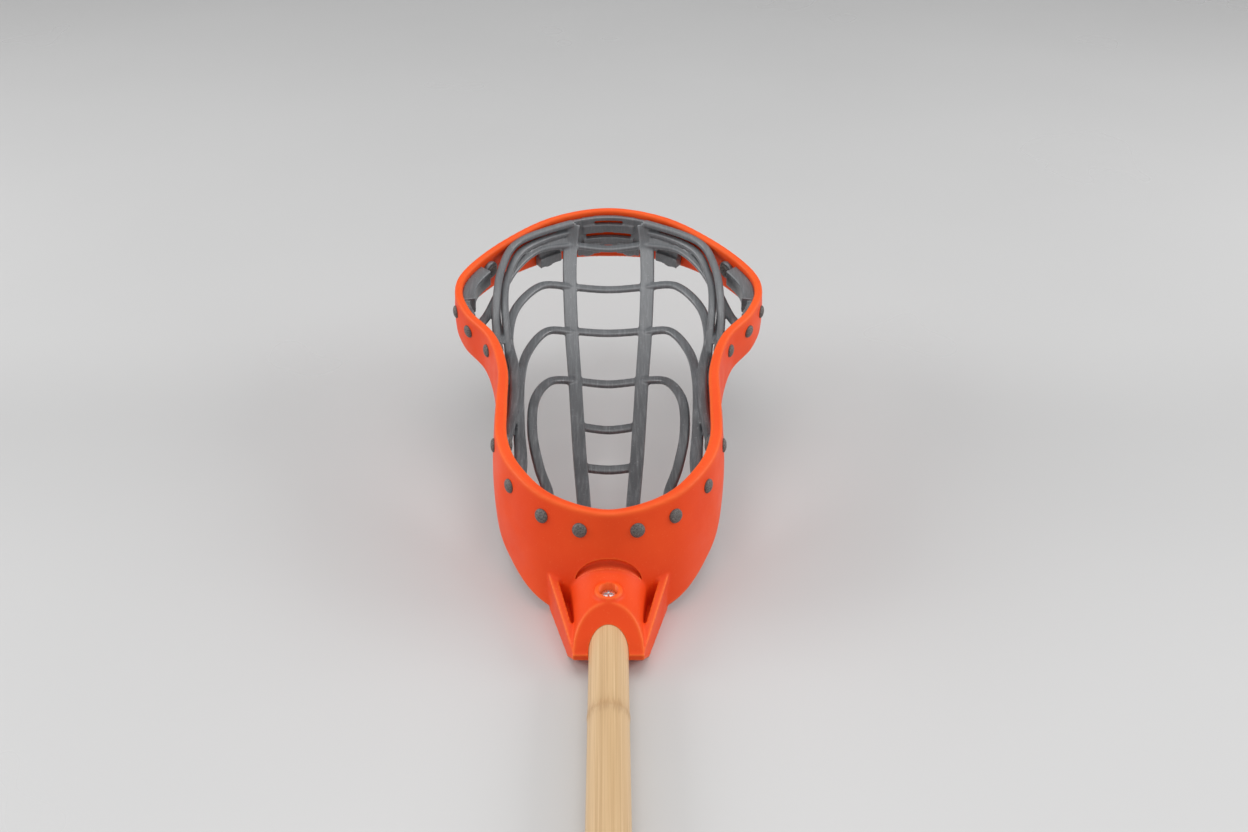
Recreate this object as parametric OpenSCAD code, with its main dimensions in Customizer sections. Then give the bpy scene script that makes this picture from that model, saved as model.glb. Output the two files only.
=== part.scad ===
// Lacrosse stick lying face up: bamboo shaft along -Y, moulded head towards +Y, floor at Z = 0.
// The origin is the middle of the flat face under the throat socket.

/* [Shaft] */
// Diameter of the bamboo shaft
shaft_d = 20; // [18:1:22]
// Length of the shaft, including the end inside the socket
shaft_len = 760; // [500:10:900]
// Length of the rubber butt cap
cap_len = 34; // [24:1:50]
// Wall of the rubber butt cap
cap_wall = 3; // [2:0.5:3]

/* [Head] */
// Tilt of the rim above the line of the shaft, in degrees
head_tilt = 10; // [6:1:12]
// Height of the rim above the floor at the throat
throat_h = 64; // [62:1:70]
// Distance from the origin to the rim at the throat
throat_y = 20; // [16:1:24]
// Thickness of the sidewall
wall_t = 4; // [3:0.5:5]
// Width of the rim bead round the throat
bead_t = 6; // [5:0.5:7]
// Width of the rim bead round the scoop
scoop_bead_t = 4.4; // [4.2:0.1:5]
// Depth of the rim bead, measured down the wall
bead_h = 5; // [4:1:6]

/* [Socket] */
// Outer radius of the socket
socket_r = 18; // [16:0.5:19]
// Radial clearance between the shaft and its bore
bore_gap = 0.1; // [0.05:0.05:0.1]
// Distance from the origin to the screw, towards the butt
screw_y = 3; // [0:0.5:6]
// Radius of the screw's head
screw_head_r = 4.1; // [3.5:0.1:4.5]
// Radius of the screw's shank
screw_r = 1.5; // [1.2:0.1:2]

/* [Net] */
// Depth of the pocket below the wall's studs
pocket_depth = 34; // [20:1:38]
// Width of a hoop or rung of the net
strip_w = 6; // [5:0.5:7]
// Thickness of the net
net_t = 3; // [2.5:0.5:3.5]

/* [Studs] */
// Radius of a stud's outer head
stud_head_r = 4.2; // [3.6:0.1:4.4]
// Radius of a stud's shank
stud_r = 2; // [1.5:0.1:2.2]
// Distance from the rim down the wall to the studs
stud_drop = 11.5; // [11:0.5:13]
// The same distance for the two studs each side of the scoop's middle
scoop_stud_drop = 29.5; // [27:0.5:30]

/* [Hidden] */
$fn = 48;
axis_z = shaft_d / 2 + cap_wall;    // the cap and the socket both rest on the floor
nose_y = -30;                       // tip of the socket's slanted nose
base_y = 19;                        // wide end of the base plate, under the wall
base_h = 10;                        // height of the base plate
gusset_w = 4.5;
counterbore_z = axis_z + socket_r - 3.5;    // seat of the screw's head
far = 120;                          // past everything sideways, for cuts that go right through
shaft_end_y = 14;                   // end of the shaft inside the socket
butt_y = shaft_end_y - shaft_len;
eyelet_r = 6.5;
fit_gap = 0.1;                      // room between pieces that touch
trim = 1;                           // reach of the net's untrimmed shapes into the wall
stud_shank = wall_t + net_t + 2 * fit_gap;
stud_flange_r = stud_r + 1.4;
stud_seat = 0.5;                    // depth of the flat seat under a stud's head

// Half outline of the rim, in the rim's plane: [sideways, distance from the throat].
RIM = [[0, 0], [32, 11], [52, 33], [61, 56], [63, 85], [64, 115], [72, 143],
       [88, 166], [96, 190], [91, 213], [69, 244], [38, 271], [0, 282]];
// The wall's lower edge opposite each rim point: [sideways, distance, depth below the rim].
FOOT = [[0, -27, 58], [36, -12, 58], [57, 22, 56], [65, 54, 52], [67, 86, 45], [68, 116, 35],
        [76, 146, 32], [91, 169, 32], [98, 192, 31], [93, 215, 30], [70, 246, 31], [38, 273, 36],
        [0, 284, 40]];
LAST = len(RIM) - 1;
RING = 2 * LAST;                    // control points round the whole rim
STEPS = 5;                          // stations between two control points
STATIONS = RING * STEPS;
// Places of the studs on one side, counted in rim points from the throat.
STUDS = [0.43, 1.07, 1.97, 3.2, 5.96, 6.77, 7.6, 9.5, 10.8, 11.6];
STUD_NAMES = [for (side = ["left", "right"]) for (i = [1 : len(STUDS)]) str("stud_", side, "_", i)];
HEAD_UP = [0, -sin(head_tilt), cos(head_tilt)];

// The net seen from above the rim, right half: points [sideways, distance from the throat].
RUNNER = [[26, 260], [26, 235], [24, 193], [21, 150], [17, 84], [14, 40], [13, 20]];
// Each hoop leaves the runner and ends at the next stud up from the throat.
HOOPS = [
    [[21, 150], [36, 142], [44, 115], [44, 85], [39, 57], [33, 34]],
    [[24, 193], [40, 190], [51, 165], [53, 125], [51, 85], [48, 55]],
    [[26, 230], [45, 226], [60, 203], [63, 172], [57, 135], [55, 95]],
    [[27, 263], [50, 257], [67, 233], [73, 200], [69, 170]],
    [[27, 276], [50, 270], [68, 247], [77, 218], [80, 190]]];
// Rungs between the runners: [distance from the throat, half length].
RUNGS = [[69, 16], [108, 18.5], [150, 21], [194, 24], [230, 26], [265, 27.5]];

ORANGE = [0.95, 0.30, 0.12];
GREY = [0.33, 0.35, 0.37];

// A point of the head: sideways x, distance l along the rim's plane, height h above it.
function head(x, l, h) = [x, throat_y + l * cos(head_tilt) - h * sin(head_tilt),
                          throat_h + l * sin(head_tilt) + h * cos(head_tilt)];
function unit(v) = v / norm(v);
// Smooth curve through p1 and p2.
function smooth(p0, p1, p2, p3, t) =
    (2 * p1 + (p2 - p0) * t + (2 * p0 - 5 * p1 + 4 * p2 - p3) * t * t
     + (3 * p1 - p0 - 3 * p2 + p3) * t * t * t) / 2;
// Control point i of the closed rim; past the scoop the points repeat, mirrored.
function rim_ctrl(i) = let (k = (i + RING) % RING)
    k <= LAST ? [RIM[k][0], RIM[k][1], 0] : [-RIM[RING - k][0], RIM[RING - k][1], 0];
function foot_ctrl(i) = let (k = (i + RING) % RING)
    k <= LAST ? [FOOT[k][0], FOOT[k][1], -FOOT[k][2]]
              : [-FOOT[RING - k][0], FOOT[RING - k][1], -FOOT[RING - k][2]];
function rim_at(u) = let (i = floor(u))
    smooth(rim_ctrl(i - 1), rim_ctrl(i), rim_ctrl(i + 1), rim_ctrl(i + 2), u - i);
function foot_at(u) = let (i = floor(u))
    smooth(foot_ctrl(i - 1), foot_ctrl(i), foot_ctrl(i + 1), foot_ctrl(i + 2), u - i);
// Outer face of the wall at station u, d millimetres down from the rim.
function wall_at(u, d) = let (r = rim_at(u), f = foot_at(u), s = d / norm(f - r))
    let (p = r + (f - r) * s) head(p[0], p[1], p[2]);
function wall_h(u) = norm(foot_at(u) - rim_at(u));
// Outward normal of the wall.
function wall_n(u, d) = unit(cross(wall_at(u, d + 1) - wall_at(u, d),
                                   wall_at(u + 0.05, d) - wall_at(u - 0.05, d)));
function stud_u(side, i) = side > 0 ? STUDS[i] : RING - STUDS[i];
function drop(i) = STUDS[i] > 10 ? scoop_stud_drop : stud_drop;

// Point t millimetres inside the wall's outer face.
function wall_in(u, d, t) = wall_at(u, d) - t * wall_n(u, d);
// Width of the bead: full round the throat, narrowing past the waist (stations 4 to 7) towards the scoop.
function bead_at(u) = let (s = min(1, max(0, (min(u, RING - u) - 4) / 3)))
    bead_t + (scoop_bead_t - bead_t) * s;
// Cross-section of the wall at station u: inner side with the bead, then the outer side, moved out by out.
function wall_section(u, room, out) = let (h = wall_h(u), bead = bead_at(u) + room, thin = wall_t + room) [
    wall_in(u, 0, bead), wall_in(u, bead_h, bead), wall_in(u, bead_h + 2, thin),
    wall_in(u, h, thin), wall_in(u, h, -out), wall_in(u, 0, -out)];

// Closed or open tube through rings of points, all rings with the same count.
module skin(rings, closed) {
    n = len(rings);
    m = len(rings[0]);
    side_faces = [for (i = [0 : closed ? n - 1 : n - 2]) for (j = [0 : m - 1])
        let (a = i * m + j, b = i * m + (j + 1) % m, i2 = (i + 1) % n)
        let (c = i2 * m + (j + 1) % m, d = i2 * m + j)
        each [[a, b, c], [a, c, d]]];
    caps = closed ? [] : [[for (j = [m - 1 : -1 : 0]) j], [for (j = [0 : m - 1]) (n - 1) * m + j]];
    polyhedron([for (r = rings) each r], concat(side_faces, caps), convexity = 8);
}

// Sidewall and scoop, with room added on its inner side and out added on its outer side.
module wall(room = 0, out = 0) {
    skin([for (k = [0 : STATIONS - 1]) wall_section(k / STEPS, room, out)], true);
}

// Moves its children to the wall's outer face, their +Z pointing out of the wall.
module at_wall(u, d) {
    n = wall_n(u, d);
    translate(wall_at(u, d)) rotate([0, acos(n[2]), atan2(n[1], n[0])]) children();
}

// Rod along Y at the shaft's height.
module along_shaft(y0, y1, r0, r1) {
    translate([0, y0, axis_z]) rotate([-90, 0, 0]) cylinder(r1 = r0, r2 = r1, h = y1 - y0);
}
module at_screw(z) {
    translate([0, -screw_y, z]) children();
}

// Solid block of the socket: sloped dome round the shaft, base plate, two raised gussets and screw boss.
module socket_block() {
    dome_y = [-12, 16];
    along_shaft(nose_y, dome_y[1], socket_r, socket_r);
    along_shaft(dome_y[0], dome_y[1], socket_r, socket_r + 3.5);
    linear_extrude(base_h) base_outline();
    for (side = [-1, 1]) intersection() {
        linear_extrude(far) gusset_outline(side);
        side_profile([[nose_y, 0], [nose_y, base_h + 3], [base_y + 1, 24], [base_y + 1, 0]]);
    }
    at_screw(axis_z) cylinder(r = screw_head_r + 3.1, h = socket_r + 1.6);
}

// Half width of the base plate, wider towards the wall.
function base_half(y) = 17.5 + (y - nose_y) * 0.3;
module base_outline() {
    polygon([[-base_half(nose_y), nose_y], [base_half(nose_y), nose_y],
             [base_half(base_y), base_y], [-base_half(base_y), base_y]]);
}
module gusset_outline(side) {
    polygon([for (p = [[0, nose_y], [0, base_y + 1], [gusset_w, base_y + 1], [gusset_w, nose_y]])
        [side * (base_half(p[1]) - p[0]), p[1]]]);
}

// Outline in the Y-Z plane, extruded sideways through the whole head.
module side_profile(points) {
    rotate([90, 0, 90]) linear_extrude(2 * far, center = true) polygon(points);
}

// Removed from the socket: everything in front of the slanted nose, and a chamfer under its tip.
module socket_cuts() {
    side_profile([[nose_y - far, axis_z], [nose_y + 1, axis_z], [-4, 38], [-4, far], [nose_y - far, far]]);
    side_profile([[nose_y - 1, base_h - 1], [-18, 0], [-18, -1], [nose_y - 1, -1]]);
}

module head_frame() {
    color(ORANGE) difference() {
        union() {
            wall();
            difference() {
                socket_block();
                socket_cuts();
            }
        }
        bore_r = shaft_d / 2 + bore_gap;
        along_shaft(nose_y - 1, shaft_end_y + 0.5, bore_r, bore_r);
        at_screw(axis_z) cylinder(r = screw_r + 0.6, h = far);
        at_screw(counterbore_z) cylinder(r = screw_head_r + 1, h = far);
        translate([-far, -far, -far]) cube([2 * far, 2 * far, far]);
        for (side = [-1, 1]) for (i = [0 : len(STUDS) - 1]) at_wall(stud_u(side, i), drop(i)) {
            translate([0, 0, -2 * wall_t]) cylinder(r = stud_r + fit_gap, h = 3 * wall_t);
            translate([0, 0, -stud_seat]) cylinder(r = stud_head_r + 0.3, h = wall_t);
        }
    }
}

// Domed head in its seat on the wall, shank through wall and eyelet, flange behind the eyelet.
module stud(side, i) {
    dome_r = 6;
    dome_h = 2.4;
    flange_t = 1.2;
    color(GREY) at_wall(stud_u(side, i), drop(i)) {
        translate([0, 0, -stud_seat]) intersection() {
            translate([0, 0, dome_h - dome_r]) sphere(r = dome_r);
            cylinder(r = stud_head_r, h = dome_r);
        }
        translate([0, 0, -stud_shank]) cylinder(r = stud_r, h = stud_shank);
        translate([0, 0, -stud_shank - flange_t]) cylinder(r = stud_flange_r, h = flange_t);
    }
}

// Round shaft with the screw's pilot hole.
module shaft() {
    color([0.83, 0.68, 0.45]) difference() {
        along_shaft(butt_y, shaft_end_y, shaft_d / 2, shaft_d / 2);
        at_screw(axis_z - 2) cylinder(r = screw_r, h = shaft_d);
    }
}

module butt_cap() {
    outer_r = shaft_d / 2 + cap_wall;
    color([0.12, 0.12, 0.13]) difference() {
        along_shaft(butt_y - cap_wall, butt_y - cap_wall + cap_len, outer_r, outer_r);
        along_shaft(butt_y, butt_y + cap_len, shaft_d / 2, shaft_d / 2);
    }
}

// Screw with a flat head and a cross recess.
module socket_screw() {
    head_h = 2.4;
    slot_w = 1;
    color([0.8, 0.8, 0.82]) difference() {
        union() {
            at_screw(axis_z - 2) cylinder(r = screw_r, h = counterbore_z - axis_z + 2.5);
            at_screw(counterbore_z) cylinder(r = screw_head_r, h = head_h);
        }
        for (turn = [0, 90]) at_screw(counterbore_z + head_h) rotate(turn)
            cube([5, slot_w, 2.6], center = true);
    }
}

// Height of the net below the rim's plane: deepest along the middle, level with the studs at the wall.
function half_w(l) = max(8, lookup(l, [for (p = RIM) [p[1], p[0]]]) - wall_t - 1);
function net_h(x, l) = let (s = min(1, max(0, l / RIM[LAST][1])), e = min(1, abs(x) / half_w(l)))
    -stud_drop - pocket_depth * pow(max(0, sin(180 * pow(s, 0.9))), 0.8) * (1 - e * e);
function net_pt(p) = head(p[0], p[1], net_h(p[0], p[1]));
function net_pts(list) = [for (p = list) net_pt(p)];
// Where a hoop ends, in the middle of the eyelet behind a stud, and where a runner ends, on the scoop band.
function eyelet_pt(u) = wall_in(u, stud_drop, wall_t + net_t / 2);
function band_pt(u) = wall_in(u, bead_h, wall_t + net_t + 0.6);

// A strip is a ribbon smoothed through its points.
function ctrl(c, i) = c[min(len(c) - 1, max(0, i))];
function strip_pt(c, k) = let (i = min(len(c) - 2, floor(k)))
    smooth(ctrl(c, i - 1), ctrl(c, i), ctrl(c, i + 1), ctrl(c, i + 2), k - i);
function strip_ring(c, k, w, t) = let (
    ahead = strip_pt(c, min(len(c) - 1, k + 0.05)) - strip_pt(c, max(0, k - 0.05)),
    side = unit(cross(ahead, HEAD_UP)) * w / 2,
    thick = unit(cross(side, ahead)) * t / 2,
    p = strip_pt(c, k))
    [p - side - thick, p + side - thick, p + side + thick, p - side + thick];
module strip(c, w0, w1, t) {
    per = 4;
    n = (len(c) - 1) * per;
    skin([for (k = [0 : n]) strip_ring(c, k / per, w0 + (w1 - w0) * k / n, t)], false);
}

// Disc of the net behind a stud. It reaches a little into the wall, and net() trims it to the wall's face.
module eyelet(u, d) {
    chamfer = 0.8;
    at_wall(u, d) translate([0, 0, -wall_t - net_t - fit_gap]) hull() {
        cylinder(r = eyelet_r - chamfer, h = net_t + trim, $fn = 24);
        translate([0, 0, chamfer]) cylinder(r = eyelet_r, h = net_t + trim - chamfer, $fn = 24);
    }
}

// Band of the net against the wall's inner face, from u0 to u1, d0 to d1 below the rim and t thick.
// Like an eyelet, it reaches into the wall by reach until net() trims it.
module wall_band(u0, u1, d0, d1, t, reach = trim) {
    n = round((u1 - u0) * STEPS);
    back = wall_t - reach;
    front = wall_t + fit_gap + t;
    skin([for (k = [0 : n]) let (u = u0 + (u1 - u0) * k / n)
        [wall_in(u, d0, back), wall_in(u, d0, front), wall_in(u, d1, front), wall_in(u, d1, back)]], false);
}
module corner_pad() {
    wall_band(7.7, 9.3, 4, 16, 8);
}
// Band round the scoop, with a short slot and a longer one below it at its middle.
module scoop_band() {
    difference() {
        wall_band(10.3, 13.7, 3.3, 26, net_t);
        wall_band(11.74, 12.26, 6.2, 9, 2 * net_t, 2 * trim);
        wall_band(11.54, 12.46, 15.7, 19.5, 2 * net_t, 2 * trim);
    }
}

// The whole net, trimmed to the wall with fit_gap of room, and opened for the studs and their flanges.
module net() {
    outside = 12;
    color(GREY) difference() {
        union() {
            for (side = [-1, 1]) {
                mirror([side < 0 ? 1 : 0, 0, 0]) {
                    strip(concat([band_pt(11.3)], net_pts(RUNNER), [eyelet_pt(STUDS[0])]), 10, 7, net_t);
                    for (i = [0 : len(HOOPS) - 1])
                        strip(concat(net_pts(HOOPS[i]), [eyelet_pt(STUDS[i + 1])]),
                              strip_w, strip_w, net_t + 0.6);
                    corner_pad();
                }
                for (i = [0 : len(STUDS) - 1]) eyelet(stud_u(side, i), drop(i));
            }
            scoop_band();
            for (r = RUNGS)
                strip([for (x = [-r[1], 0, r[1]]) net_pt([x, r[0]])], strip_w, strip_w, net_t + 0.3);
        }
        wall(fit_gap, outside);
        for (side = [-1, 1]) for (i = [0 : len(STUDS) - 1])
            at_wall(stud_u(side, i), drop(i)) translate([0, 0, -stud_shank]) {
                translate([0, 0, -1]) cylinder(r = stud_r + fit_gap, h = stud_shank, $fn = 20);
                translate([0, 0, -5]) cylinder(r = stud_flange_r + 0.2, h = 5, $fn = 20);
            }
    }
}

head_frame();
net();
shaft();
butt_cap();
socket_screw();
for (i = [0 : len(STUDS) - 1]) stud(-1, i);
for (i = [0 : len(STUDS) - 1]) stud(1, i);
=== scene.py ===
"""Looks of the lacrosse stick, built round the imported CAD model.

The stick lies face up along Y, its head towards +Y, on a pale floor at Z = 0.
"""

import math

import bmesh
import bpy
import numpy as np
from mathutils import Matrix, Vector


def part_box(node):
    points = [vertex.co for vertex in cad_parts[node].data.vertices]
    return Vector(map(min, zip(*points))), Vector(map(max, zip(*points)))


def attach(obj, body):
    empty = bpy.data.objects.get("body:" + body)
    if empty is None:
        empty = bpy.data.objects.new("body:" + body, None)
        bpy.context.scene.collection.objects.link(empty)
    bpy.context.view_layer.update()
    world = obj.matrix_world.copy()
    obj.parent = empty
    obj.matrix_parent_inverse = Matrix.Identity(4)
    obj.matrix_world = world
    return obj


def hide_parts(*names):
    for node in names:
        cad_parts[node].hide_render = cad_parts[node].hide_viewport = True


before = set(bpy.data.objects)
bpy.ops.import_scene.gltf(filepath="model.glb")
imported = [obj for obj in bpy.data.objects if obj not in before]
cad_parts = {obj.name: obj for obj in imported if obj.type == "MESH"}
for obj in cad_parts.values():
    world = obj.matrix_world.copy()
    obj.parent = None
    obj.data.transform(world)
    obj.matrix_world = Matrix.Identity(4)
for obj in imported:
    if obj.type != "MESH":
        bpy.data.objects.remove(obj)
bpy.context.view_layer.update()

MM = 0.001
shaft_low, shaft_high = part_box("shaft")
shaft_r = (shaft_high.x - shaft_low.x) / 2 / MM
shaft_z = (shaft_high.z + shaft_low.z) / 2 / MM

# ---------------------------------------------------------------- the design's own sizes, in millimetres

TILT = math.radians(10)          # rim's plane above the line of the shaft
THROAT_Y, THROAT_H = 20.0, 64.0  # rim at the throat
WALL_T = 4.0
BEAD_T, SCOOP_BEAD_T = 6.0, 4.4  # width of the rim's bead round the throat and round the scoop
BEAD_H = 5.0
LIP, BOW = 0.6, 0.025            # rounding of the wall's outer face: lip under the rim, bow of the middle
FACE_TOP, FACE_ENDS = 2, 3.5     # height lost to the rounded top of that face, and to both its ends
NOSE_Y, BASE_Y = -30.0, 19.0     # tip of the socket, and the wide end of its base plate
BASE_H = 9.5
NOSE_HALF, BASE_SLOPE = 17.5, 0.3  # half width of the base plate at the tip, and how fast it widens
SOCKET_R = 18.0
SCREW_Y = -3.0
SCREW_SEAT = 3.5                 # depth of the screw's seat below the socket's top
NET_T = 3.0
NET_GAP = 0.2                    # room between the net and the wall
STRIP_W = 6                      # width of the hoops and rungs
POCKET_DEPTH = 34.0              # of the net, below the line of the studs
STUD_DROP, SCOOP_STUD_DROP = 11.5, 29.5
NODE_MARKS = (-72, -262, -448, -640)  # places of the bamboo's nodes along Y

# Half outline of the rim in its own plane: sideways, distance from the throat.
RIM = [(0, 0), (32, 11), (52, 33), (61, 56), (63, 85), (64, 115), (72, 143),
       (88, 166), (96, 190), (91, 213), (69, 244), (38, 271), (0, 282)]
# Lower edge of the wall opposite each rim point: sideways, distance, depth below the rim.
FOOT = [(0, -27, 58), (36, -12, 58), (57, 22, 56), (65, 54, 52), (67, 86, 45), (68, 116, 35),
        (76, 146, 32), (91, 169, 32), (98, 192, 31), (93, 215, 30), (70, 246, 31), (38, 273, 36),
        (0, 284, 40)]
LAST = len(RIM) - 1
RING = 2 * LAST                  # rim points round the whole head
# Places of the studs on one side, counted in rim points from the throat.
STUDS = [0.43, 1.07, 1.97, 3.2, 5.96, 6.77, 7.6, 9.5, 10.8, 11.6]

# The net, right half: points sideways and distance from the throat.
RUNNER = [(26, 260), (26, 235), (24, 193), (21, 150), (17, 84), (14, 40), (13, 20)]
HOOPS = [
    [(21, 150), (36, 142), (44, 115), (44, 85), (39, 57), (33, 34)],
    [(24, 193), (40, 190), (51, 165), (53, 125), (51, 85), (48, 55)],
    [(26, 230), (45, 226), (60, 203), (63, 172), (57, 135), (55, 95)],
    [(27, 262), (48, 252), (64, 229), (72, 198), (69, 170)],
    [(27, 266), (48, 255), (62, 236), (71, 212), (77, 188)]]
# Two strands inside the wall, from the scoop band to the throat: first points on the wall
# (station, depth, distance in), then free points (sideways, distance, height).
OUTER_STRANDS = [
    ([(11.3, 4, 7.5), (10.5, 3, 7)],
     [(63.3, 241, -4), (69.3, 219, -6), (71, 198, -9), (70.5, 172, -16), (63.3, 126, -20), (57, 84, -16)]),
    ([(11.3, 11, 8), (10.7, 9, 9)],
     [(58.4, 241.5, -9), (65.3, 220, -12), (66.6, 198, -15), (62.7, 161, -22), (56.8, 112, -24),
      (52, 80, -19)])]
# Rungs between the runners: distance from the throat, half length.
RUNGS = [(69, 16), (108, 18.5), (150, 21), (194, 24), (230, 26), (262.5, 27.5)]
# Bands against the wall's inner face: first and last station, upper and lower depth, thickness.
# The corner pad and its thinner tail; then ribs above, between and below the scoop band's two slots,
# the slots' end, the solid part beside them and its low end.
BANDS = [(7.7, 9.3, 4, 16, 8), (7.1, 7.8, 6, 14, 4),
         (11.5, 12, 3.3, 6.2, 3), (11.5, 12, 9, 15.7, 3.6), (11.5, 12, 19.5, 26, 4.2),
         (11.5, 11.72, 4, 15.7, 2.6), (11.0, 11.56, 3.6, 26, 2.6), (10.6, 11.1, 19.5, 26, 3.2)]


# ---------------------------------------------------------------- curves of the head

def unit(v):
    return v / np.linalg.norm(v)


def head(x, l, h):
    """A point of the head: sideways x, distance l along the rim's plane, height h above it."""
    return np.array([x, THROAT_Y + l * math.cos(TILT) - h * math.sin(TILT),
                     THROAT_H + l * math.sin(TILT) + h * math.cos(TILT)])


HEAD_UP = np.array([0, -math.sin(TILT), math.cos(TILT)])


def smooth(p0, p1, p2, p3, t):
    """Catmull-Rom curve from p1 to p2."""
    return (2 * p1 + (p2 - p0) * t + (2 * p0 - 5 * p1 + 4 * p2 - p3) * t * t
            + (3 * p1 - p0 - 3 * p2 + p3) * t ** 3) / 2


def closed_ctrl(table, i):
    """Point i of a table that runs round the rim, mirrored past the scoop."""
    k = i % RING
    x, l, *depth = table[k if k <= LAST else RING - k]
    return np.array([x if k <= LAST else -x, l, -depth[0] if depth else 0.0])


def closed_at(table, u):
    i = math.floor(u)
    return smooth(*(closed_ctrl(table, i + j) for j in (-1, 0, 1, 2)), u - i)


def wall_h(u):
    """Height of the wall at station u."""
    return float(np.linalg.norm(closed_at(FOOT, u) - closed_at(RIM, u)))


def wall_at(u, d):
    """Outer face of the wall at station u, d millimetres below the rim."""
    rim, foot = closed_at(RIM, u), closed_at(FOOT, u)
    return head(*(rim + (foot - rim) * d / np.linalg.norm(foot - rim)))


def wall_n(u, d):
    """Outward normal of the wall."""
    down = wall_at(u, d + 1) - wall_at(u, d)
    return unit(np.cross(down, wall_at(u + 0.05, d) - wall_at(u - 0.05, d)))


def wall_in(u, d, t):
    """Point t millimetres in from the wall's outer face."""
    return wall_at(u, d) - t * wall_n(u, d)


def bead_at(u):
    """Width of the rim bead: full round the throat, narrowing towards the scoop."""
    narrow_from, narrow_over = 4, 3
    s = min(1.0, max(0.0, (min(u, RING - u) - narrow_from) / narrow_over))
    return BEAD_T + (SCOOP_BEAD_T - BEAD_T) * s


def bulge(h, s):
    """How far the wall's outer face stands out, s of the way down a wall of height h."""
    return BOW * h * math.sin(math.pi * s) + LIP * (1 - s) ** 6


def half_w(l):
    """Half width of the net's pocket at distance l from the throat."""
    least = 8.0
    return max(least, float(np.interp(l, [p[1] for p in RIM], [p[0] for p in RIM])) - WALL_T - 1)


def net_pt(p):
    """A point of the net's shallow pocket, from its place in the rim's plane."""
    s = min(1.0, max(0.0, p[1] / RIM[LAST][1]))
    e = min(1.0, abs(p[0]) / half_w(p[1]))
    sag = max(0.0, math.sin(math.pi * s ** 0.9)) ** 0.8 * (1 - e * e)
    return head(p[0], p[1], -STUD_DROP - POCKET_DEPTH * sag)


def drop(i):
    """Depth of stud i below the rim."""
    return SCOOP_STUD_DROP if STUDS[i] > 10 else STUD_DROP


# ---------------------------------------------------------------- mesh helpers

def skin(rings, closed=False):
    """Vertices and faces of a tube through rings of points; an open tube gets end caps."""
    n, m = len(rings), len(rings[0])
    verts = [p for ring in rings for p in ring]
    faces = []
    for i in range(n if closed else n - 1):
        a, b = i * m, (i + 1) % n * m
        faces += [(a + j, a + (j + 1) % m, b + (j + 1) % m, b + j) for j in range(m)]
    if not closed:
        faces += [tuple(range(m - 1, -1, -1)), tuple(range((n - 1) * m, n * m))]
    return verts, faces


def lathe(profile, turns=32):
    """Closed solid of revolution about +Z through (radius, height) points, both ends on the axis."""
    body = profile[1:-1]
    verts = [(0, 0, profile[0][1]), (0, 0, profile[-1][1])]
    for k in range(turns):
        a = 2 * math.pi * k / turns
        verts += [(r * math.cos(a), r * math.sin(a), z) for r, z in body]
    m = len(body)
    faces = []
    for k in range(turns):
        a, b = 2 + k * m, 2 + (k + 1) % turns * m
        faces.append((0, b, a))
        faces += [(a + j, b + j, b + j + 1, a + j + 1) for j in range(m - 1)]
        faces.append((1, a + m - 1, b + m - 1))
    return verts, faces


def place(verts, origin, z_axis):
    """Points turned so that their +Z follows z_axis, then moved to origin."""
    turn = Vector((0, 0, 1)).rotation_difference(Vector(z_axis)).to_matrix()
    return [tuple(turn @ Vector(v) + Vector(origin)) for v in verts]


def make(name, parts):
    """One object from (vertices, faces) lists given in millimetres."""
    verts, faces = [], []
    for part_verts, part_faces in parts:
        base = len(verts)
        verts += [tuple(float(c) * MM for c in v) for v in part_verts]
        faces += [tuple(base + i for i in f) for f in part_faces]
    mesh = bpy.data.meshes.new(name)
    mesh.from_pydata(verts, [], faces)
    obj = bpy.data.objects.new(name, mesh)
    bpy.context.collection.objects.link(obj)
    bm = bmesh.new()
    bm.from_mesh(mesh)
    bmesh.ops.recalc_face_normals(bm, faces=bm.faces)
    bm.to_mesh(mesh)
    bm.free()
    return obj


def apply_modifiers(obj):
    depsgraph = bpy.context.evaluated_depsgraph_get()
    mesh = bpy.data.meshes.new_from_object(obj.evaluated_get(depsgraph))
    obj.modifiers.clear()
    obj.data = mesh


def cut(obj, *cutters):
    """Subtracts each cutter from obj and deletes it."""
    for cutter in cutters:
        mod = obj.modifiers.new("cut", "BOOLEAN")
        mod.operation, mod.solver, mod.object = "DIFFERENCE", "EXACT", cutter
    apply_modifiers(obj)
    for cutter in cutters:
        bpy.data.objects.remove(cutter)


def join(name, objs):
    """All the objects' meshes in one new object."""
    bm = bmesh.new()
    for o in objs:
        bm.from_mesh(o.data)
    mesh = bpy.data.meshes.new(name)
    bm.to_mesh(mesh)
    bm.free()
    for o in objs:
        bpy.data.objects.remove(o)
    obj = bpy.data.objects.new(name, mesh)
    bpy.context.collection.objects.link(obj)
    return obj


def mould(obj, voxel, rounds):
    """Fuses overlapping solids into one moulded skin with softly rounded edges."""
    remesh = obj.modifiers.new("remesh", "REMESH")
    remesh.mode, remesh.voxel_size = "VOXEL", voxel * MM
    relax = obj.modifiers.new("relax", "SMOOTH")
    relax.factor, relax.iterations = 0.5, rounds
    apply_modifiers(obj)
    shade_smooth(obj)


def shade_smooth(obj):
    obj.data.polygons.foreach_set("use_smooth", [True] * len(obj.data.polygons))


# ---------------------------------------------------------------- materials

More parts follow.
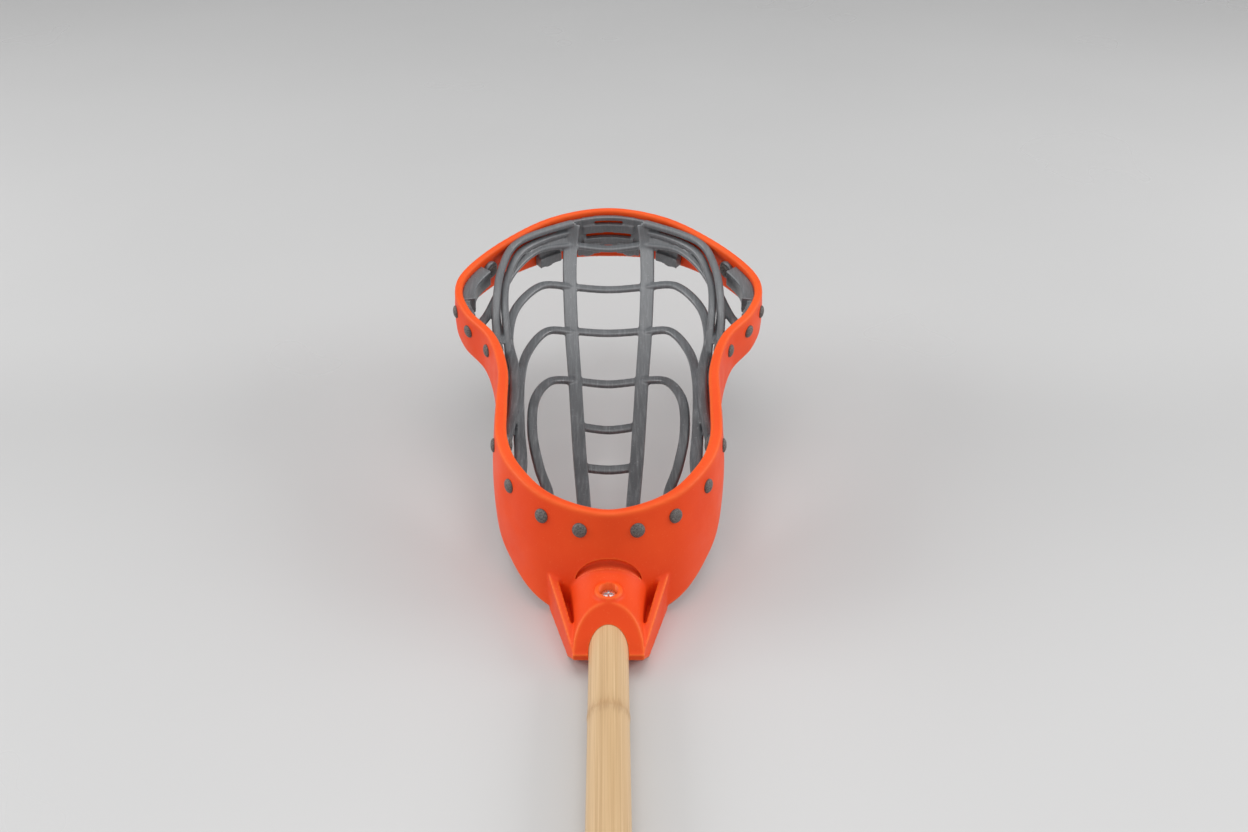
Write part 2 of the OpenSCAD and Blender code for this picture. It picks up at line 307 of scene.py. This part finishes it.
class Shader:
    """A Principled material whose colour, roughness and bump come from procedural nodes."""

    def __init__(self, name, **uniform):
        self.mat = bpy.data.materials.new(name)
        self.mat.use_nodes = True
        self.tree = self.mat.node_tree
        self.bsdf = self.tree.nodes["Principled BSDF"]
        for socket, value in uniform.items():
            self.bsdf.inputs[socket.replace("_", " ")].default_value = value

    def node(self, kind, **settings):
        n = self.tree.nodes.new(kind)
        for key, value in settings.items():
            if key in n.inputs.keys():
                n.inputs[key].default_value = value
            else:
                setattr(n, key, value)
        return n

    def link(self, a, b):
        self.tree.links.new(a, b)

    def coords(self, scale=(1, 1, 1)):
        """Object coordinates, in metres, stretched by scale."""
        tex = self.node("ShaderNodeTexCoord")
        mapping = self.node("ShaderNodeMapping")
        mapping.inputs["Scale"].default_value = scale
        self.link(tex.outputs["Object"], mapping.inputs["Vector"])
        return mapping.outputs["Vector"]

    def along_y(self, vector):
        """The Y of a vector."""
        n = self.node("ShaderNodeSeparateXYZ")
        self.link(vector, n.inputs["Vector"])
        return n.outputs["Y"]

    def calc(self, operation, *values):
        """Math node over numbers and sockets."""
        n = self.node("ShaderNodeMath", operation=operation)
        for socket, value in zip(n.inputs, values):
            if isinstance(value, bpy.types.NodeSocket):
                self.link(value, socket)
            else:
                socket.default_value = value
        return n.outputs[0]

    def noise(self, vector, scale, detail=4.0, rough=0.5):
        n = self.node("ShaderNodeTexNoise", Scale=scale, Detail=detail, Roughness=rough)
        self.link(vector, n.inputs["Vector"])
        return n.outputs["Fac"]

    def ramp(self, fac, *stops, ease="LINEAR"):
        """Colour ramp through (position, colour or grey) stops."""
        n = self.node("ShaderNodeValToRGB")
        n.color_ramp.interpolation = ease
        while len(n.color_ramp.elements) < len(stops):
            n.color_ramp.elements.new(0.5)
        for element, (at, value) in zip(n.color_ramp.elements, stops):
            element.position = at
            element.color = (value, value, value, 1) if isinstance(value, float) else (*value, 1)
        self.link(fac, n.inputs["Fac"])
        return n.outputs["Color"]

    def mix(self, fac, a, b, blend="MIX"):
        n = self.node("ShaderNodeMix", data_type="RGBA", blend_type=blend)
        for socket, value in ((n.inputs[0], fac), (n.inputs[6], a), (n.inputs[7], b)):
            if isinstance(value, bpy.types.NodeSocket):
                self.link(value, socket)
            else:
                socket.default_value = value if isinstance(value, float) else (*value, 1)
        return n.outputs[2]

    def bump(self, height, distance, strength):
        """Relief of the given depth in millimetres."""
        n = self.node("ShaderNodeBump", Strength=strength, Distance=distance * MM)
        self.link(height, n.inputs["Height"])
        return n.outputs["Normal"]

    def edge(self, low, high):
        """0 on flat faces, 1 on outer edges and corners."""
        geometry = self.node("ShaderNodeNewGeometry")
        return self.ramp(geometry.outputs["Pointiness"], (low, 0.0), (high, 1.0))

    def finish(self, color=None, rough=None, normal=None):
        for output, socket in ((color, "Base Color"), (rough, "Roughness"), (normal, "Normal")):
            if output is not None:
                self.link(output, self.bsdf.inputs[socket])
        return self.mat


def orange_plastic():
    """Moulded plastic: fine sparkle texture, paler edges, faint flow clouds."""
    s = Shader("orange_plastic", Specular_IOR_Level=0.22)
    at = s.coords()
    clouds = s.noise(at, 18, 3)
    fine = s.noise(at, 900, 3, 0.6)
    base = s.ramp(clouds, (0.35, (0.80, 0.058, 0.006)), (0.65, (0.88, 0.078, 0.010)))
    worn = s.mix(s.edge(0.50, 0.56), base, (0.95, 0.18, 0.03))
    specks = s.mix(s.ramp(fine, (0.62, 0.0), (0.72, 0.18)), worn, (1.0, 0.30, 0.10))
    rough = s.ramp(s.noise(at, 60, 4), (0.3, 0.40), (0.7, 0.55))
    return s.finish(specks, rough, s.bump(fine, 0.05, 0.5))


def net_rubber():
    """Moulded rubber: dark grey, with pale flow marks, scuffed edges and a painted sheen towards the scoop.
    """
    s = Shader("net_rubber", Specular_IOR_Level=0.9)
    at = s.coords()
    broad = s.noise(at, 35, 3)
    fine = s.noise(at, 700, 4, 0.7)
    streak = s.noise(s.coords((260, 18, 60)), 3, 5, 0.65)
    base = s.ramp(broad, (0.3, (0.042, 0.045, 0.049)), (0.7, (0.075, 0.080, 0.087)))
    streaked = s.mix(s.ramp(streak, (0.48, 0.0), (0.70, 0.35)), base, (0.30, 0.31, 0.32))
    marks = s.mix(s.ramp(fine, (0.60, 0.0), (0.74, 0.55)), streaked, (0.38, 0.39, 0.40))
    worn = s.mix(s.edge(0.52, 0.60), marks, (0.26, 0.27, 0.28))
    # painted sheen: the net turns slightly paler towards the scoop, in place of light reflected there
    painted_scoop_sheen = s.mix(s.ramp(s.along_y(at), (0.10, 0.0), (0.29, 0.45)), worn, (0.24, 0.255, 0.27))
    rough = s.ramp(broad, (0.3, 0.30), (0.7, 0.44))
    return s.finish(painted_scoop_sheen, rough, s.bump(fine, 0.05, 0.6))


def stud_plastic():
    """Cast grey plastic with a pitted face."""
    s = Shader("stud_plastic", Specular_IOR_Level=0.45)
    at = s.coords()
    pits = s.noise(at, 1400, 3, 0.6)
    color = s.ramp(pits, (0.35, (0.055, 0.048, 0.045)), (0.70, (0.20, 0.18, 0.17)))
    return s.finish(color, s.ramp(pits, (0.3, 0.65), (0.7, 0.45)), s.bump(pits, 0.25, 0.9))


def bamboo():
    """Sanded bamboo: fibres along Y, slow bands of colour, a darker broken ring at each node."""
    s = Shader("bamboo", Specular_IOR_Level=0.4, Coat_Weight=0.25, Coat_Roughness=0.3)
    fibre = s.noise(s.coords((1400, 10, 1400)), 1, 5, 0.6)
    strand = s.noise(s.coords((420, 5, 420)), 1, 4, 0.6)
    dash = s.noise(s.coords((900, 45, 900)), 1, 4, 0.7)
    band = s.noise(s.coords((70, 3, 70)), 1, 3)
    base = s.ramp(band, (0.3, (0.60, 0.405, 0.215)), (0.7, (0.73, 0.515, 0.295)))
    strands = s.mix(s.ramp(strand, (0.42, 0.35), (0.60, 0.0)), base, (0.55, 0.35, 0.16))
    fibres = s.mix(s.ramp(fibre, (0.35, 0.45), (0.52, 0.0)), strands, (0.42, 0.25, 0.11))
    pale = s.mix(s.ramp(fibre, (0.58, 0.0), (0.74, 0.5)), fibres, (0.82, 0.62, 0.38))
    along = s.along_y(s.coords())
    ragged = 0.014
    color = pale
    for y in NODE_MARKS:
        distance = s.calc("ABSOLUTE", s.calc("SUBTRACT", along, y * MM))
        ring = s.ramp(s.calc("MULTIPLY_ADD", dash, ragged, distance), (0.0070, 0.50), (0.0125, 0.0))
        color = s.mix(ring, color, (0.36, 0.20, 0.085))
    rough = s.ramp(strand, (0.3, 0.42), (0.7, 0.55))
    return s.finish(color, rough, s.bump(fibre, 0.12, 0.5))


def cap_rubber():
    """Black rubber with a little dust."""
    s = Shader("cap_rubber", Specular_IOR_Level=0.4)
    at = s.coords()
    dust = s.noise(at, 120, 5, 0.7)
    fine = s.noise(at, 1500, 2)
    color = s.ramp(dust, (0.35, (0.016, 0.016, 0.017)), (0.75, (0.045, 0.044, 0.043)))
    return s.finish(color, s.ramp(dust, (0.3, 0.55), (0.7, 0.8)), s.bump(fine, 0.08, 0.5))


def plated_steel():
    """Bright plating with fine brush marks."""
    s = Shader("plated_steel", Metallic=1.0)
    at = s.coords()
    grain = s.noise(s.coords((2500, 300, 300)), 1, 3)
    color = s.ramp(s.noise(at, 700, 3), (0.3, (0.62, 0.62, 0.63)), (0.7, (0.86, 0.86, 0.87)))
    return s.finish(color, s.ramp(grain, (0.3, 0.18), (0.7, 0.34)), s.bump(grain, 0.02, 0.4))


# ---------------------------------------------------------------- head

def wall_ring():
    """Sidewall with a rounded rim bead inside, a slight outer lip and a gently bowed outer face."""
    per = 16                     # stations from one rim point to the next
    rings = []
    for k in range(RING * per):
        u = k / per
        h, bead = wall_h(u), bead_at(u)
        # both lists: distance in from the outer face, depth below the rim
        outer = [(-bulge(h, s), FACE_TOP + (h - FACE_ENDS) * s)
                 for s in (1, 0.85, 0.7, 0.55, 0.4, 0.28, 0.18, 0.1, 0.04, 0)]
        section = [(0.3 - LIP, 0.7), (1.0, 0), (bead / 2, -0.25), (bead - 1.0, 0), (bead - 0.2, 0.8),
                   (bead, 2.5), (bead - 0.2, BEAD_H), (WALL_T + 0.2, BEAD_H + 2), (WALL_T, BEAD_H + 5),
                   (WALL_T, h * 0.6 + 3), (WALL_T, h - 1.4), (WALL_T - 1, h), (1.2, h)] + outer
        n = wall_n(u, h / 2)
        rings.append([wall_at(u, d) - t * n for t, d in section])
    return skin(rings, closed=True)


def base_half(y):
    """Half width of the base plate at y."""
    return NOSE_HALF + (y - NOSE_Y) * BASE_SLOPE


def dome():
    """Arched tunnel round the shaft, growing towards the wall."""
    count, spacing = 24, 2.0
    grow_from, grow_over, growth = -14, 30, 4.5
    rings = []
    for k in range(count):
        y = NOSE_Y + k * spacing
        rise = min(1.0, max(0.0, (y - grow_from) / grow_over))
        r = SOCKET_R + growth * rise ** 2
        arch = [(r * math.cos(a), y, shaft_z + r * math.sin(a))
                for a in np.linspace(0, math.pi, 33)]
        rings.append(arch + [(-r, y, 0), (r, y, 0)])
    return skin(rings)


def plate(outline, low, tops):
    """Flat-bottomed plate, with one top height for each corner."""
    return skin([[(x, y, low) for x, y in outline],
                 [(x, y, z) for (x, y), z in zip(outline, tops)]])


def at_screw(part):
    """The part moved from the origin to the line of the screw."""
    verts, faces = part
    return [(x, y + SCREW_Y, z) for x, y, z in verts], faces


def side_prism(points):
    """Outline in the Y-Z plane, extruded sideways past the socket."""
    half = 60
    return skin([[(x, y, z) for y, z in points] for x in (-half, half)])


def socket_parts():
    """Arched tunnel, base plate, a rising gusset on each side and the boss round the screw."""
    front, back = NOSE_Y, BASE_Y
    gusset_w, gusset_taper, gusset_low, gusset_high = 4.6, 0.8, 13, 25
    boss_r, boss_top_r, boss_chamfer, boss_rise = 7.4, 6.6, 1, 1.4
    base = plate([(-base_half(front), front), (base_half(front), front),
                  (base_half(back), back), (-base_half(back), back)], 0, [BASE_H] * 4)
    parts = [dome(), base]
    for side in (-1, 1):
        outline = [(side * (base_half(y) - w), y)
                   for y, w in ((front, 0), (back, 0), (back, gusset_w), (front, gusset_w * gusset_taper))]
        parts.append(plate(outline, 0, [gusset_low, gusset_high, gusset_high, gusset_low]))
    boss_top = shaft_z + SOCKET_R + boss_rise
    parts.append(at_screw(lathe([(0, shaft_z), (boss_r, shaft_z), (boss_r, boss_top - boss_chamfer),
                                 (boss_top_r, boss_top), (0, boss_top)])))
    return parts


def crescent():
    """Recess in the wall over the top of the dome, widest at its middle."""
    start, end, span = (math.radians(v) for v in (38, 142, 104))
    low, least, most = SOCKET_R + 3.6, 0.4, 5
    front_y, back_y, slant = 4, 15.2, 2
    rings = []
    for a in np.linspace(start, end, 25):
        high = low + (least + most * math.sin((a - start) / span * math.pi) ** 0.8)
        rings.append([(r * math.cos(a), y, shaft_z + r * math.sin(a))
                      for r, y in ((low, front_y), (high, front_y + slant), (high, back_y), (low, back_y))])
    return skin(rings)


def cylinder(name, radius, start, axis, length):
    """Cutter along an axis."""
    verts, faces = lathe([(0, 0), (radius, 0), (radius, length), (0, length)], 64)
    return make(name, [(place(verts, start, axis), faces)])


def build_head():
    """The one-piece head: wall ring and socket moulded together, nose cut on the slant."""
    blocks = [make("block", [part]) for part in socket_parts()]
    # slants over and under the tip of the socket, as outlines of Y and Z
    nose = side_prism([(NOSE_Y - 40, shaft_z), (NOSE_Y + 1, shaft_z), (-2, 40), (-2, 90), (-90, 90)])
    under = side_prism([(NOSE_Y - 1, 10), (NOSE_Y - 1, -30), (-10, -30), (-10, -0.02), (-18, -0.02)])
    for block in blocks:
        cut(block, make("nose", [nose]), make("under", [under]))
    whole = join("head_shell", blocks + [make("wall", [wall_ring()])])
    mould(whole, voxel=0.75, rounds=5)
    bore_r, bore_start_y, bore_length = shaft_r + 0.15, NOSE_Y - 20, 64.5
    pilot_r, pilot_length = 2.1, 40
    counterbore_r, counterbore_length = 5.2, 20
    seat_z = shaft_z + SOCKET_R - SCREW_SEAT
    cut(whole, make("crescent", [crescent()]),
        cylinder("bore", bore_r, (0, bore_start_y, shaft_z), (0, 1, 0), bore_length),
        cylinder("pilot", pilot_r, (0, SCREW_Y, shaft_z), (0, 0, 1), pilot_length),
        cylinder("counterbore", counterbore_r, (0, SCREW_Y, seat_z), (0, 0, 1), counterbore_length))
    shade_smooth(whole)
    return whole


# ---------------------------------------------------------------- net

def ribbon(points, w0, w1, thick, corner):
    """Strip swept through points, with a rounded rectangular section."""
    points = [np.asarray(p, float) for p in points]
    per = 10                     # rings from one point to the next
    last = len(points) - 1

    def at(k):
        i = min(last - 1, max(0, math.floor(k)))
        around = [points[min(last, max(0, i + j))] for j in (-1, 0, 1, 2)]
        return smooth(*around, k - i)

    rings = []
    for k in range(last * per + 1):
        t = k / per
        ahead = at(min(last, t + 0.05)) - at(max(0, t - 0.05))
        side = unit(np.cross(ahead, HEAD_UP))
        up = unit(np.cross(side, ahead))
        half_wide = (w0 + (w1 - w0) * t / last) / 2
        rings.append([at(t) + side * a + up * b
                      for a, b in rounded_rectangle(half_wide, thick / 2, corner)])
    return skin(rings)


def rounded_rectangle(a, b, r):
    """Points round a rectangle of half sizes a and b with corners of radius r."""
    points = []
    for quarter, (sx, sy) in enumerate(((1, 1), (-1, 1), (-1, -1), (1, -1))):
        for step in range(4):
            angle = math.pi / 2 * (quarter + step / 3)
            points.append((sx * (a - r) + r * math.cos(angle), sy * (b - r) + r * math.sin(angle)))
    return points


def wall_band(u0, u1, d0, d1, t):
    """Band of the net lying against the wall's inner face."""
    per = 16
    n = max(2, round((u1 - u0) * per))
    g = WALL_T + NET_GAP
    rings = []
    for k in range(n + 1):
        u = u0 + (u1 - u0) * k / n
        rings.append([wall_in(u, d0, g), wall_in(u, d0, g + t), wall_in(u, d1, g + t), wall_in(u, d1, g)])
    return skin(rings)


def stud_u(side, i):
    """Station of stud i on the left (-1) or the right (1)."""
    return STUDS[i] if side > 0 else RING - STUDS[i]


def mirrored(part):
    """The part on the other side of the stick."""
    verts, faces = part
    return [(-v[0], v[1], v[2]) for v in verts], faces


def net_half():
    """Runner, hoops, outer strands, bands and lugs of the right side."""
    runner_w, runner_end_w, outer_w = 10, 7, 5
    lug_half, lug_top, lug_foot, lug_t = 0.23, 24, 31.5, 6
    ends = [wall_in(u, STUD_DROP, WALL_T + NET_T / 2) for u in STUDS]
    runner_top = wall_in(11.3, BEAD_H, WALL_T + NET_T + 0.6)
    runner = [runner_top] + [net_pt(p) for p in RUNNER] + [ends[0]]
    parts = [ribbon(runner, runner_w, runner_end_w, NET_T, 0.6)]
    for i, hoop in enumerate(HOOPS):
        points = [net_pt(p) for p in hoop] + [ends[i + 1]]
        parts.append(ribbon(points, STRIP_W, STRIP_W, NET_T + 0.6, 1.5))
    for i, (on_wall, free) in enumerate(OUTER_STRANDS):
        points = [wall_in(*p) for p in on_wall] + [head(*p) for p in free] + [ends[3 - i]]
        parts.append(ribbon(points, outer_w, outer_w, NET_T + 1, 1.4))
    parts += [wall_band(*band) for band in BANDS]
    # lugs that hang from the scoop band over its studs
    for u in (STUDS[-2], STUDS[-1]):
        parts.append(wall_band(u - lug_half, u + lug_half, lug_top, lug_foot, lug_t))
    return parts


def build_net():
    """The one-piece net: both halves, rungs and an eyelet at each stud, moulded together."""
    half = net_half()
    parts = half + [mirrored(p) for p in half]
    for l, reach in RUNGS:
        points = [net_pt((x, l)) for x in (-reach, 0, reach)]
        parts.append(ribbon(points, STRIP_W, STRIP_W, NET_T, 1.1))
    eyelet_r, face_r, chamfer = 6.3, 5.6, 0.7
    eyelet = [(0, 0), (face_r, 0), (eyelet_r, chamfer), (eyelet_r, NET_T), (0, NET_T)]
    for side in (-1, 1):
        for i in range(len(STUDS)):
            u = stud_u(side, i)
            back = wall_in(u, drop(i), WALL_T + NET_T + NET_GAP)
            verts, faces = lathe(eyelet)
            parts.append((place(verts, back, wall_n(u, drop(i))), faces))
    net = join("net_moulding", [make("strip", [p]) for p in parts])
    mould(net, voxel=0.6, rounds=3)
    return net


# ---------------------------------------------------------------- small pieces

def build_stud(side, i):
    """Rivet with a low dome outside and a domed flange behind the net's eyelet."""
    dome_r, dome_h, dome_edge, dome_sunk = 4.0, 2.0, 0.2, 0.3
    shank_r, flange_r, flange_h = 2.0, 4.6, 2.2
    u, d = stud_u(side, i), drop(i)
    h = wall_h(u)
    out = bulge(h, (d - FACE_TOP) / (h - FACE_ENDS))
    shank = WALL_T + NET_T + NET_GAP + out
    arc = np.linspace(0, math.pi / 2, 8)
    profile = [(flange_r * math.sin(a), -shank - flange_h * math.cos(a)) for a in arc]
    profile += [(shank_r, -shank), (shank_r, -dome_sunk), (dome_r, -dome_sunk), (dome_r, dome_edge)]
    profile += [(dome_r * math.cos(a), dome_edge + (dome_h - dome_edge) * math.sin(a)) for a in arc[1:]]
    profile[0], profile[-1] = (0, profile[0][1]), (0, profile[-1][1])
    verts, faces = lathe(profile, 40)
    name = f"stud_{'right' if side > 0 else 'left'}_{i + 1}"
    n = wall_n(u, d)
    stud = make(name + "_rivet", [(place(verts, wall_at(u, d) + out * n, n), faces)])
    shade_smooth(stud)
    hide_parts(name)
    return stud


def build_shaft():
    """Bamboo rod with chamfered ends and a faint swelling at each node."""
    chamfer, swelling, spread, spacing, turns = 0.8, 0.35, 2.2, 4.0, 64
    low, high = (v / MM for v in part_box("shaft"))
    ys = list(np.arange(low.y + chamfer, high.y - chamfer, spacing)) + [high.y - chamfer]
    for y in NODE_MARKS:
        ys += [y - 3, y - 1.5, y, y + 1.5, y + 3]
    rings = []
    for y, inset in [(low.y, chamfer)] + [(y, 0) for y in sorted(ys)] + [(high.y, chamfer)]:
        swell = sum(swelling * math.exp(-((y - m) / spread) ** 2) for m in NODE_MARKS)
        r = shaft_r - inset + swell
        rings.append([(r * math.cos(a), y, shaft_z + r * math.sin(a))
                      for a in np.linspace(0, 2 * math.pi, turns, endpoint=False)])
    shaft = make("bamboo_shaft", [skin(rings)])
    shade_smooth(shaft)
    return shaft


def build_screw():
    """Pan head screw with a cross recess."""
    low, high = (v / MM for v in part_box("socket_screw"))
    r = (high.x - low.x) / 2
    shank_r, head_h, rim_h, crown_h = 1.5, 2.4, 0.9, 1.5
    slot_length, slot_w, slot_floor, past_head = 4.6, 1.0, 1.2, 6
    seat = high.z - head_h
    profile = [(0, low.z), (shank_r, low.z), (shank_r, seat), (r, seat), (r, seat + rim_h)]
    profile += [(r * math.cos(a), seat + rim_h + crown_h * math.sin(a)) for a in (0.35, 0.7, 1.05, 1.35)]
    profile.append((0, seat + head_h))
    screw = make("cross_screw", [at_screw(lathe(profile, 48))])
    cross = []
    for wide, deep in ((slot_length, slot_w), (slot_w, slot_length)):
        a, b = wide / 2, deep / 2
        corners = [(-a, -b), (a, -b), (a, b), (-a, b)]
        slot = plate(corners, seat + slot_floor, [seat + past_head] * 4)
        cross.append(make("cross", [at_screw(slot)]))
    cut(screw, *cross)
    bevel = screw.modifiers.new("bevel", "BEVEL")
    bevel.width, bevel.segments, bevel.angle_limit = 0.08 * MM, 2, math.radians(40)
    apply_modifiers(screw)
    shade_smooth(screw)
    return screw


def build_cap():
    """Rubber butt cap with three grip grooves and a rounded end."""
    low, high = (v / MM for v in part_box("butt_cap"))
    r = (high.z - low.z) / 2
    length = high.y - low.y
    inner_r, floor_t = shaft_r + 0.05, 3
    profile = [(0, 0), (r - 3, 0), (r - 1.2, 0.4), (r - 0.3, 1.6), (r, 3.2)]
    groove_depth, groove_half, floor_half = 0.8, 1.2, 0.6
    for groove in (9, 14, 19):
        profile += [(r, groove - groove_half), (r - groove_depth, groove - floor_half),
                    (r - groove_depth, groove + floor_half), (r, groove + groove_half)]
    profile += [(r, length - 2), (r - 0.5, length - 0.5), (r - 1.4, length), (inner_r, length)]
    profile += [(inner_r, floor_t), (0, floor_t)]
    verts, faces = lathe(profile, 72)
    cap = make("rubber_cap", [(place(verts, (0, low.y, shaft_z), (0, 1, 0)), faces)])
    shade_smooth(cap)
    return cap


def fit_out(piece, material, slot, *nodes):
    """Gives a piece its material, and lets it stand for its CAD nodes; the slot is not used."""
    piece.data.materials.clear()
    piece.data.materials.append(material)
    if nodes:
        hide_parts(*nodes)
    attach(piece, "root")


# ---------------------------------------------------------------- stage

def sweep_paper():
    """Pale grey, slightly glossy, with painted shading: its tone changes slowly with distance."""
    s = Shader("sweep", Specular_IOR_Level=0.5)
    at = s.coords()
    along = s.node("ShaderNodeMapRange")
    along.inputs["From Min"].default_value = -0.5
    along.inputs["From Max"].default_value = 1.5
    s.link(s.along_y(at), along.inputs["Value"])
    # painted shading: the brightness of the floor and backdrop ramps along Y in the colour
    painted_shading = s.ramp(along.outputs["Result"], (0.15, 0.635), (0.265, 0.59), (0.335, 0.53), (0.37, 0.54),
                  (0.41, 0.575), (0.55, 0.575), (0.9, 0.56), ease="B_SPLINE")
    paper = s.ramp(s.noise(at, 3, 2), (0.3, 0.97), (0.7, 1.0))
    color = s.mix(1.0, painted_shading, paper, "MULTIPLY")
    return s.finish(color, s.ramp(s.noise(at, 5, 2), (0.3, 0.27), (0.7, 0.31)))


def build_stage():
    """Pale glossy floor that curves up into a backdrop."""
    wide, front, back, rise, bend = 6.0, -5.0, 3.2, 2.4, 1.2
    profile = [(front, 0.0), (back - bend, 0.0)]
    profile += [(back - bend + bend * math.sin(a), bend - bend * math.cos(a))
                for a in np.linspace(0, math.pi / 2, 24)[1:]]
    profile.append((back, rise + bend))
    verts = [(x, y, z) for x in (-wide, wide) for y, z in profile]
    n = len(profile)
    faces = [(i, i + n, i + n + 1, i + 1) for i in range(n - 1)]
    mesh = bpy.data.meshes.new("sweep")
    mesh.from_pydata(verts, [], faces)
    sweep = bpy.data.objects.new("sweep", mesh)
    bpy.context.collection.objects.link(sweep)
    shade_smooth(sweep)
    sweep.data.materials.append(sweep_paper())


def area_light(name, size, at, aim, watts):
    """Rectangular light at a place, turned to its aim."""
    data = bpy.data.lights.new(name, "AREA")
    data.shape, data.size, data.size_y = "RECTANGLE", size[0], size[1]
    data.energy = watts
    light = bpy.data.objects.new(name, data)
    light.location = at
    light.rotation_euler = (Vector(aim) - Vector(at)).to_track_quat("-Z", "Y").to_euler()
    bpy.context.collection.objects.link(light)


def build_lights():
    """Even white surround, one panel overhead and one on each side."""
    world = bpy.data.worlds.new("studio")
    bpy.context.scene.world = world
    world.use_nodes = True
    background = world.node_tree.nodes["Background"]
    background.inputs["Color"].default_value = (1, 1, 1, 1)
    background.inputs["Strength"].default_value = 0.68
    area_light("overhead", (1.2, 1.0), (0.0, 0.25, 1.6), (0, 0.1, 0), 6.5)
    for side in (-1, 1):
        area_light(f"wing_{side}", (0.9, 0.7), (side * 1.5, 0.25, 0.75), (0, 0.1, 0.03), 11)


def build_camera():
    """35 mm view down the shaft, square to the head."""
    data = bpy.data.cameras.new("camera")
    data.sensor_width, data.lens = 36.0, 34.6
    data.shift_x = 0.0124
    camera = bpy.data.objects.new("camera", data)
    camera.location = (0, -0.468, 0.440)
    camera.rotation_euler = (math.radians(57), 0, 0)
    bpy.context.collection.objects.link(camera)
    bpy.context.scene.camera = camera


# ---------------------------------------------------------------- assembly

build_camera()
fit_out(build_head(), orange_plastic(), "head_plastic", "head_frame")
fit_out(build_net(), net_rubber(), "net_rubber", "net")
fit_out(build_shaft(), bamboo(), "bamboo", "shaft")
fit_out(build_screw(), plated_steel(), "screw_steel", "socket_screw")
fit_out(build_cap(), cap_rubber(), "cap_rubber", "butt_cap")
stud_mat = stud_plastic()
for stud_side in (-1, 1):
    for stud_i in range(len(STUDS)):
        fit_out(build_stud(stud_side, stud_i), stud_mat, "stud_plastic")
build_stage()
build_lights()
bpy.context.scene.view_settings.view_transform = "Standard"
